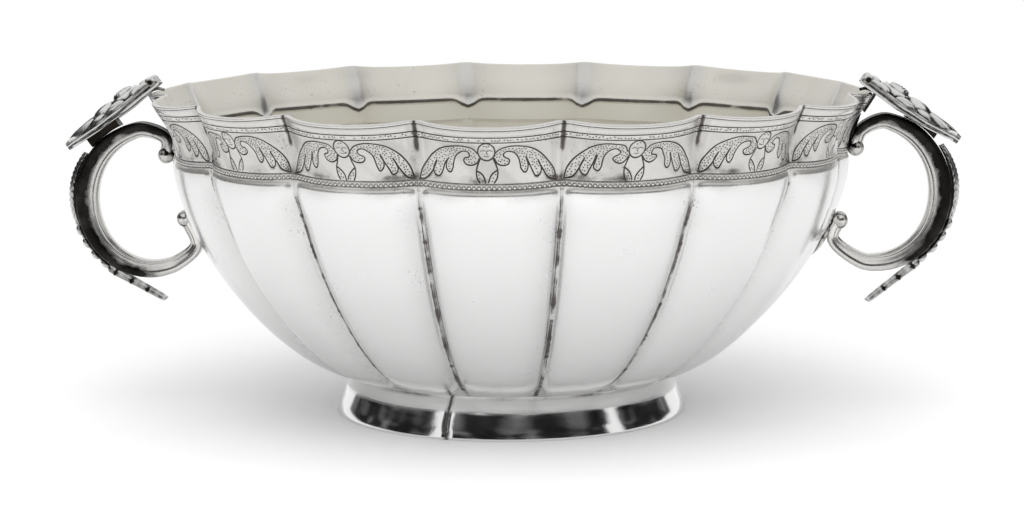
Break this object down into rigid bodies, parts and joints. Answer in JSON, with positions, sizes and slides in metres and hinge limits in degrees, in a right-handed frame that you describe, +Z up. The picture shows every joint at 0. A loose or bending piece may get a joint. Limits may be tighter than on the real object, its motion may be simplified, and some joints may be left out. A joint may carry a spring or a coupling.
{
  "type": "two-handled bowl",
  "caption": "Shallow lobed silver bowl with a flared scalloped rim, an engraved neck band, a splayed foot ring and cast scroll handles with thumb plaques.",
  "frame": {"origin": "middle of the foot ring's resting face", "axes": "+Z up along the bowl's axis; the two handles lie on +X and -X over the middle of a lobe, so +X is the longest extent and +Z the shortest"},
  "size_m": [0.3246, 0.2606, 0.1222],
  "materials": {
    "bowl_silver": "hand-planished silver, softly polished",
    "foot_silver": "polished silver with a faint tarnish",
    "cast_silver": "cast silver, polished on the high faces and tarnished in the hollows",
    "carved_silver": "cast and chased silver, dark with age in the recesses"
  },
  "bodies": {
    "root": {"bowl_body": "bowl_silver", "foot_ring": "foot_silver", "right_handle_loop": "cast_silver", "right_thumb_plaque": "carved_silver", "right_spine_strip": "carved_silver", "right_rim_clasp": "carved_silver", "right_upper_pad": "cast_silver", "right_lower_pad": "cast_silver", "left_handle_loop": "cast_silver", "left_thumb_plaque": "carved_silver", "left_spine_strip": "carved_silver", "left_rim_clasp": "carved_silver", "left_upper_pad": "cast_silver", "left_lower_pad": "cast_silver"}
  },
  "joints": []
}
